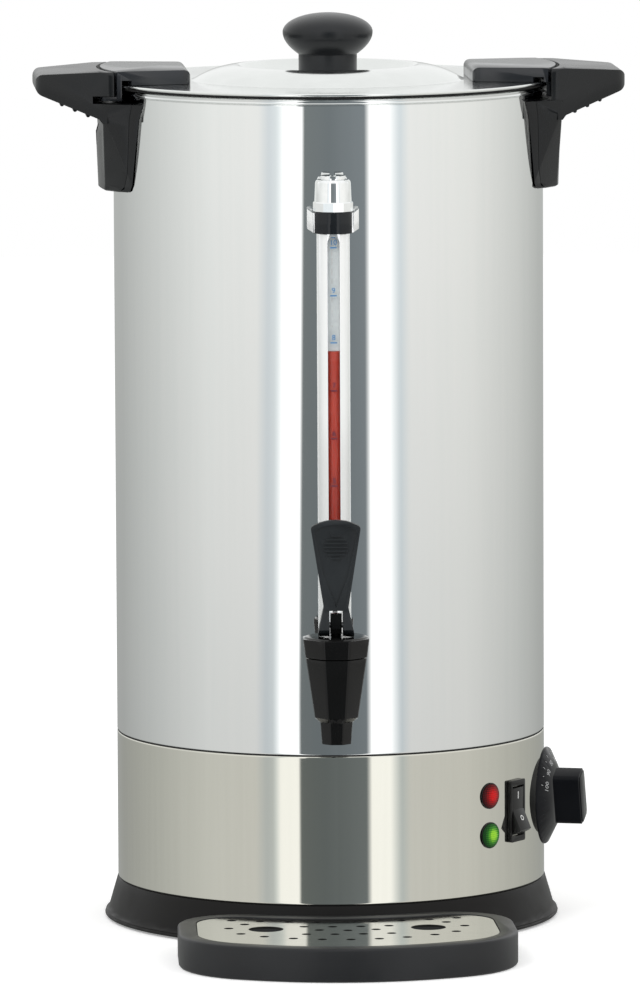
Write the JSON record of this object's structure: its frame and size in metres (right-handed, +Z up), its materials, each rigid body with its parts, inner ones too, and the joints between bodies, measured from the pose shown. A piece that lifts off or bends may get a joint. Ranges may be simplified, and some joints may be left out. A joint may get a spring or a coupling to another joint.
{
  "type": "hot water urn",
  "caption": "Countertop hot water boiler: round steel vessel with a twist-lock lid, side handles, lever tap, sight gauge, dial, rocker switch, lamps and a loose drip tray.",
  "frame": {"origin": "centre of the round base on the surface it stands on", "axes": "+Z up, -Y towards the tap and the drip tray, handles on +X and -X"},
  "size_m": [0.312, 0.356, 0.4825],
  "materials": {
    "vessel_steel": "polished drawn stainless steel",
    "band_steel": "polished rolled stainless steel, a little warmer than the vessel",
    "plated_steel": "zinc-plated steel",
    "polished_steel": "mirror-polished stainless tube",
    "chrome": "bright chrome plating",
    "grid_steel": "satin stainless sheet",
    "aluminium": "milled aluminium",
    "brass": "turned brass",
    "copper": "drawn copper",
    "satin_black": "satin black phenolic moulding",
    "grey_black": "grained charcoal polypropylene",
    "gloss_black": "glossy black moulding",
    "black_rubber": "soft black rubber",
    "silicone": "translucent white silicone",
    "ceramic": "glazed white ceramic and pale heatproof moulding",
    "gauge_glass": "clear borosilicate tube",
    "gauge_red": "red indicating column",
    "red_lens": "translucent red lens",
    "green_lens": "translucent green lens"
  },
  "bodies": {
    "urn": {"tank": "vessel_steel", "tank_floor": "vessel_steel", "base_band": "band_steel", "base_plate": "plated_steel", "base_screws": "plated_steel", "handle_bosses": "plated_steel", "handle_screws": "plated_steel", "tap_spring": "plated_steel", "shield_studs": "plated_steel", "heating_element": "plated_steel", "heat_shield": "plated_steel", "gauge_guard": "polished_steel", "gauge_tee": "chrome", "gauge_cap": "chrome", "heater_plate": "aluminium", "sensor_bulb": "copper", "handle_grip_right": "satin_black", "handle_grip_left": "satin_black", "handle_saddle_right": "satin_black", "handle_saddle_left": "satin_black", "foot_ring": "grey_black", "tap_body": "gloss_black", "tap_bonnet": "gloss_black", "tap_nut": "gloss_black", "gauge_collar": "gloss_black", "dial_boss": "gloss_black", "lamp_red_body": "gloss_black", "lamp_green_body": "gloss_black", "switch_frame": "gloss_black", "cord_gland": "gloss_black", "rubber_feet": "black_rubber", "gauge_seals": "black_rubber", "tap_gaskets": "silicone", "thermostat": "ceramic", "thermal_cutout": "ceramic", "terminal_block": "ceramic", "gauge_tube": "gauge_glass", "gauge_column": "gauge_red", "lamp_red_lens": "red_lens", "lamp_green_lens": "green_lens"},
    "lid": {"lid_pan": "vessel_steel", "lid_knob": "satin_black", "lid_knob_washer": "plated_steel", "lid_knob_screw": "plated_steel", "lid_lug_right": "satin_black", "lid_lug_left": "satin_black", "lid_lug_rivets": "plated_steel"},
    "stem": {"tap_stem": "gloss_black", "tap_seat_cup": "silicone", "tap_pin": "plated_steel"},
    "lever": {"tap_lever": "gloss_black"},
    "rocker": {"switch_rocker": "gloss_black"},
    "dial": {"dial_knob": "gloss_black", "dial_shaft": "brass"},
    "tray": {"drip_tray": "grey_black"},
    "grid": {"drip_grid": "grid_steel"}
  },
  "joints": [
    {"name": "lid_turn", "type": "hinge", "parent": "urn", "child": "lid", "pos_m": [0, 0, 0.4446], "axis": [0, 0, 1], "range_deg": [0, 40]},
    {"name": "stem_lift", "type": "slide", "parent": "urn", "child": "stem", "axis": [0, 0, 1], "range_m": [0, 0.0031], "deforming": ["tap_spring"]},
    {"name": "lever_tilt", "type": "hinge", "parent": "stem", "child": "lever", "pos_m": [-0.00705, -0.15534, 0.175], "axis": [0.999, -0.0454, 0], "range_deg": [0, 60], "stiffness_Nm_per_rad": 0.005, "springref_deg": -160.43},
    {"name": "rocker_press", "type": "hinge", "parent": "urn", "child": "rocker", "pos_m": [0.09163, -0.0644, 0.0635], "axis": [0.575, 0.8181, 0], "range_deg": [0, 24]},
    {"name": "dial_turn", "type": "hinge", "parent": "urn", "child": "dial", "pos_m": [0.11193, -0.03231, 0.0666], "axis": [0.9608, -0.2773, 0], "range_deg": [-270, 0]},
    {"name": "tray_slide", "type": "slide", "parent": "urn", "child": "tray", "axis": [-0.014, -0.9999, 0], "range_m": [0, 0.1]},
    {"name": "grid_lift", "type": "slide", "parent": "tray", "child": "grid", "axis": [0, 0, 1], "range_m": [0, 0.03]}
  ],
  "couplings": [
    {"joint": "stem_lift", "follows": "lever_tilt", "m_per_rad": 0.0028648}
  ]
}
